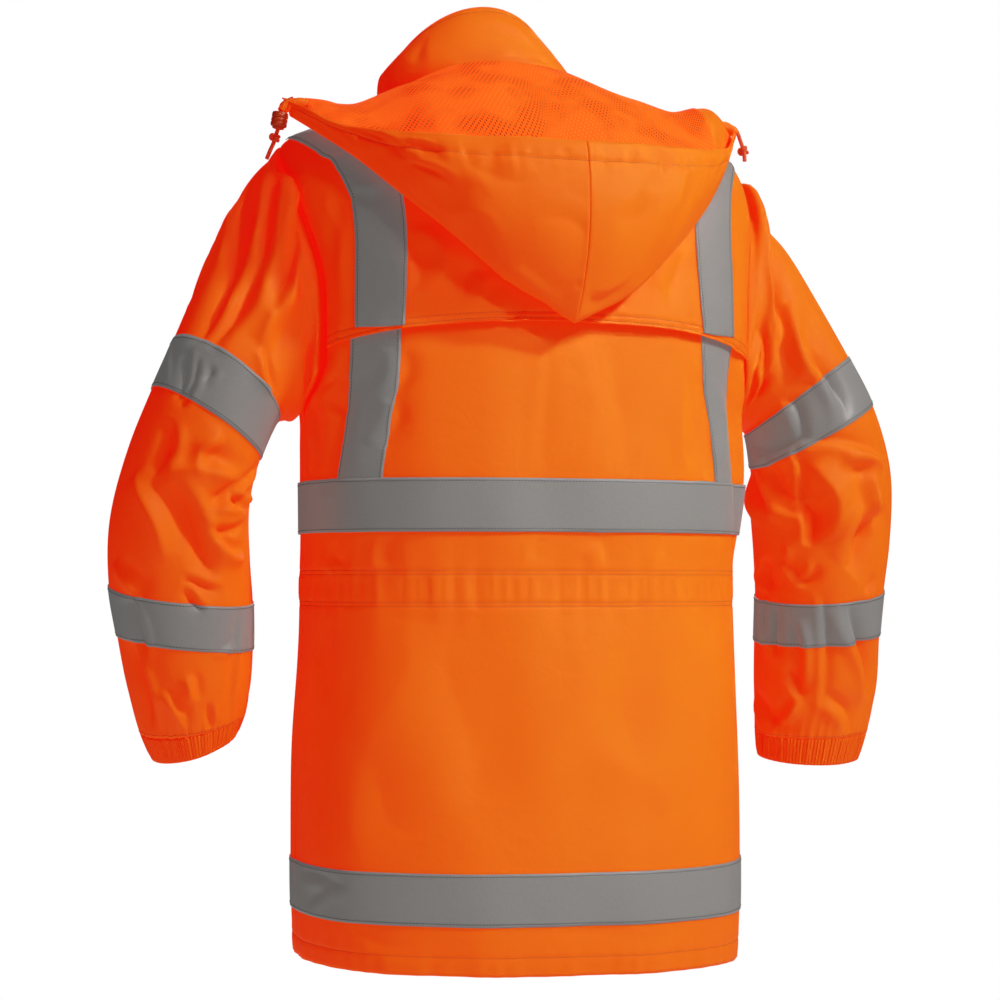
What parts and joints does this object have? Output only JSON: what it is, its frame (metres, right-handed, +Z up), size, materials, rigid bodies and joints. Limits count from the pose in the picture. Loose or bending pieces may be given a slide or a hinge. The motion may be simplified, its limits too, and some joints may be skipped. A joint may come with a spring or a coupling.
{
  "type": "hi-vis work jacket",
  "caption": "Long hooded work jacket in orange cloth with grey reflective tapes, hollow as worn, zip closed and hood down on the back.",
  "frame": {"origin": "the point between the shoulders where the wearer carries the jacket, about level with the top of the shoulder seams", "axes": "+Z up along the body, the zip faces -Y, +X towards the wearer's left"},
  "size_m": [0.8065, 0.3978, 0.955],
  "materials": {
    "orange_cloth": "semi-matt coated woven cloth",
    "orange_mesh": "matt open warp-knit mesh",
    "orange_cord": "round braided cord",
    "orange_plastic": "moulded, matt",
    "reflective_tape": "grey glass-bead reflective cloth tape",
    "dark_zip": "moulded, dark grey"
  },
  "bodies": {
    "jacket": {"back_panel": "orange_cloth", "back_yoke": "orange_cloth", "brace_back_left": "reflective_tape", "brace_back_right": "reflective_tape", "brace_front_left": "reflective_tape", "brace_front_right": "reflective_tape", "brace_yoke_left": "reflective_tape", "brace_yoke_right": "reflective_tape", "collar": "orange_cloth", "cuff_left": "orange_cloth", "cuff_right": "orange_cloth", "forearm_tape_left": "reflective_tape", "forearm_tape_right": "reflective_tape", "front_left": "orange_cloth", "front_right": "orange_cloth", "hem_tape_back": "reflective_tape", "hem_tape_front_left": "reflective_tape", "hem_tape_front_right": "reflective_tape", "hood_cord_knot_left": "orange_cord", "hood_cord_knot_right": "orange_cord", "hood_cord_left": "orange_cord", "hood_cord_lock_left": "orange_plastic", "hood_cord_right": "orange_cord", "hood_facing": "orange_cloth", "hood_left": "orange_cloth", "hood_lining": "orange_mesh", "hood_right": "orange_cloth", "sleeve_left": "orange_cloth", "sleeve_right": "orange_cloth", "upper_arm_tape_left": "reflective_tape", "upper_arm_tape_right": "reflective_tape", "waist_tape_back": "reflective_tape", "waist_tape_front_left": "reflective_tape", "waist_tape_front_right": "reflective_tape", "zip_chain": "dark_zip", "zip_slider": "dark_zip", "zip_tape": "orange_cloth"},
    "pull_tab": {"zip_pull": "dark_zip"}
  },
  "joints": [
    {"name": "pull_tab_hinge", "type": "hinge", "parent": "jacket", "child": "pull_tab", "pos_m": [0.02203, -0.16608, -0.00767], "axis": [-0.9992, 0.0064, 0.0397], "range_deg": [0, 110]}
  ]
}
